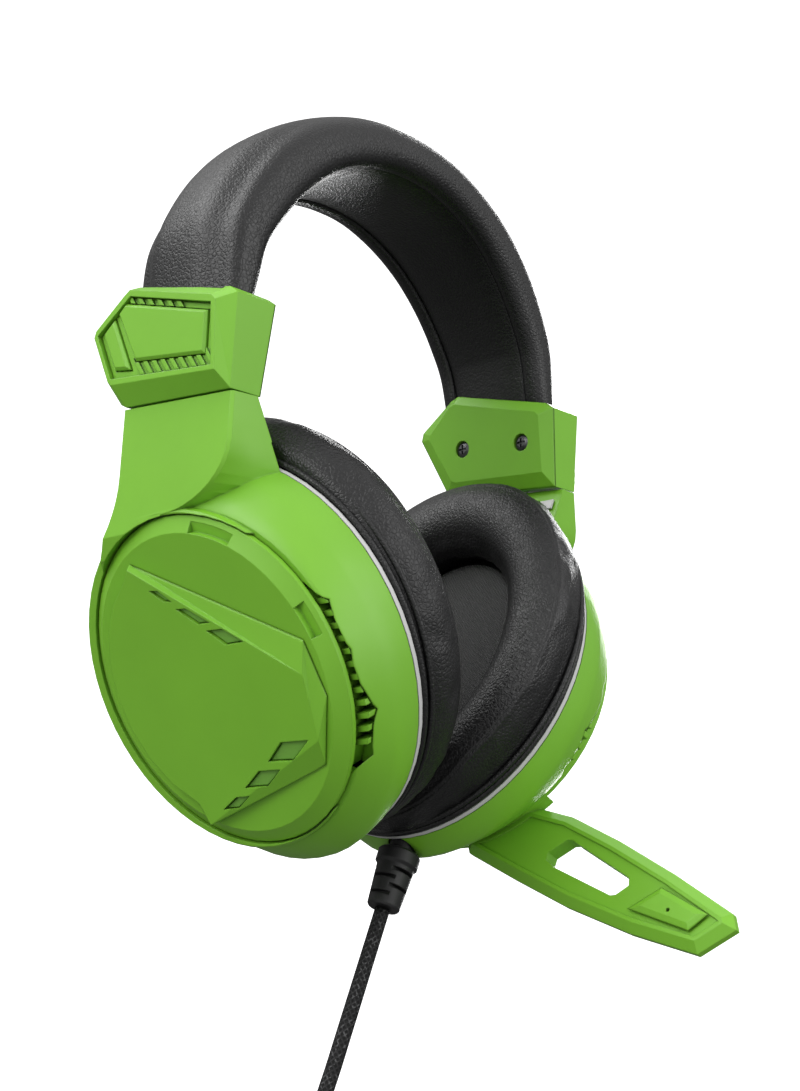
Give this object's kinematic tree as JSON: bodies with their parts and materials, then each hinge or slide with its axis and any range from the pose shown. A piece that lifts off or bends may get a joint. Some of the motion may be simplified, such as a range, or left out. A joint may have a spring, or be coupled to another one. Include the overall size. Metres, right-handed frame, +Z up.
{
  "type": "gaming headset",
  "caption": "Closed over-ear gaming headset with padded headband, faceted plastic ear cups, a swinging boom microphone on one cup and a coiled lead.",
  "frame": {"origin": "middle of the underside of the headband pad, where the crown of the head rests", "axes": "+Z up, -Y the way the wearer looks, +X the wearer's left, where the boom and the lead are"},
  "size_m": [0.1452, 0.144, 0.4253],
  "materials": {
    "green_plastic": "moulded ABS, fine satin",
    "green_gloss": "translucent moulding",
    "leatherette": "grained black protein leather over foam",
    "pale_plastic": "pale satin moulding",
    "speaker_fabric": "thin knitted speaker cloth",
    "black_plastic": "black moulding",
    "black_rubber": "soft moulded sleeve",
    "braid": "black braided jacket with grey flecks",
    "strap_fabric": "hook-and-loop strap",
    "dark_steel": "blackened steel",
    "bright_steel": "plain spring steel",
    "clear_film": "thin diaphragm film",
    "gold_contact": "gold-plated contact"
  },
  "bodies": {
    "headband": {"headband_cover": "leatherette", "headband_band": "dark_steel", "headband_inner_pad": "leatherette", "left_slider_housing": "green_plastic", "left_housing_cover": "green_plastic", "left_housing_panel": "green_plastic", "left_housing_sliver": "green_plastic", "left_housing_grille": "green_plastic", "left_screw_front": "dark_steel", "left_screw_rear": "dark_steel", "right_slider_housing": "green_plastic", "right_housing_cover": "green_plastic", "right_housing_panel": "green_plastic", "right_housing_sliver": "green_plastic", "right_housing_grille": "green_plastic", "right_screw_front": "dark_steel", "right_screw_rear": "dark_steel"},
    "left_cup": {"left_slider_strip": "bright_steel", "left_cup_shell": "green_plastic", "left_arm_cover": "green_plastic", "left_side_badge": "pale_plastic", "left_vent_grille": "green_plastic", "left_trim_ring": "pale_plastic", "left_outer_disc": "green_plastic", "left_shield_panel": "green_plastic", "left_light_guide": "green_gloss", "left_baffle": "black_plastic", "left_driver_frame": "black_plastic", "left_driver_magnet": "bright_steel", "left_driver_diaphragm": "clear_film", "left_speaker_cloth": "speaker_fabric", "left_ear_cushion": "leatherette", "strain_relief": "black_rubber", "cord": "braid", "cord_hank": "braid", "cord_tail": "braid", "cable_tie": "strap_fabric", "plug_body": "black_plastic", "plug_tip": "gold_contact"},
    "right_cup": {"right_slider_strip": "bright_steel", "right_cup_shell": "green_plastic", "right_arm_cover": "green_plastic", "right_side_badge": "pale_plastic", "right_vent_grille": "green_plastic", "right_trim_ring": "pale_plastic", "right_outer_disc": "green_plastic", "right_shield_panel": "green_plastic", "right_light_guide": "green_gloss", "right_baffle": "black_plastic", "right_driver_frame": "black_plastic", "right_driver_magnet": "bright_steel", "right_driver_diaphragm": "clear_film", "right_speaker_cloth": "speaker_fabric", "right_ear_cushion": "leatherette"},
    "mic_boom": {"boom_arm": "green_plastic", "boom_mic_cover": "green_plastic", "boom_mic_capsule": "dark_steel"}
  },
  "joints": [
    {"name": "left_slider", "type": "slide", "parent": "headband", "child": "left_cup", "axis": [0, 0, -1], "range_m": [0, 0.018]},
    {"name": "right_slider", "type": "slide", "parent": "headband", "child": "right_cup", "axis": [0, 0, -1], "range_m": [0, 0.018]},
    {"name": "boom_hinge", "type": "hinge", "parent": "left_cup", "child": "mic_boom", "pos_m": [0.05248, 0, -0.14475], "axis": [-0.9033, 0, 0.4289], "range_deg": [-20, 90]}
  ]
}
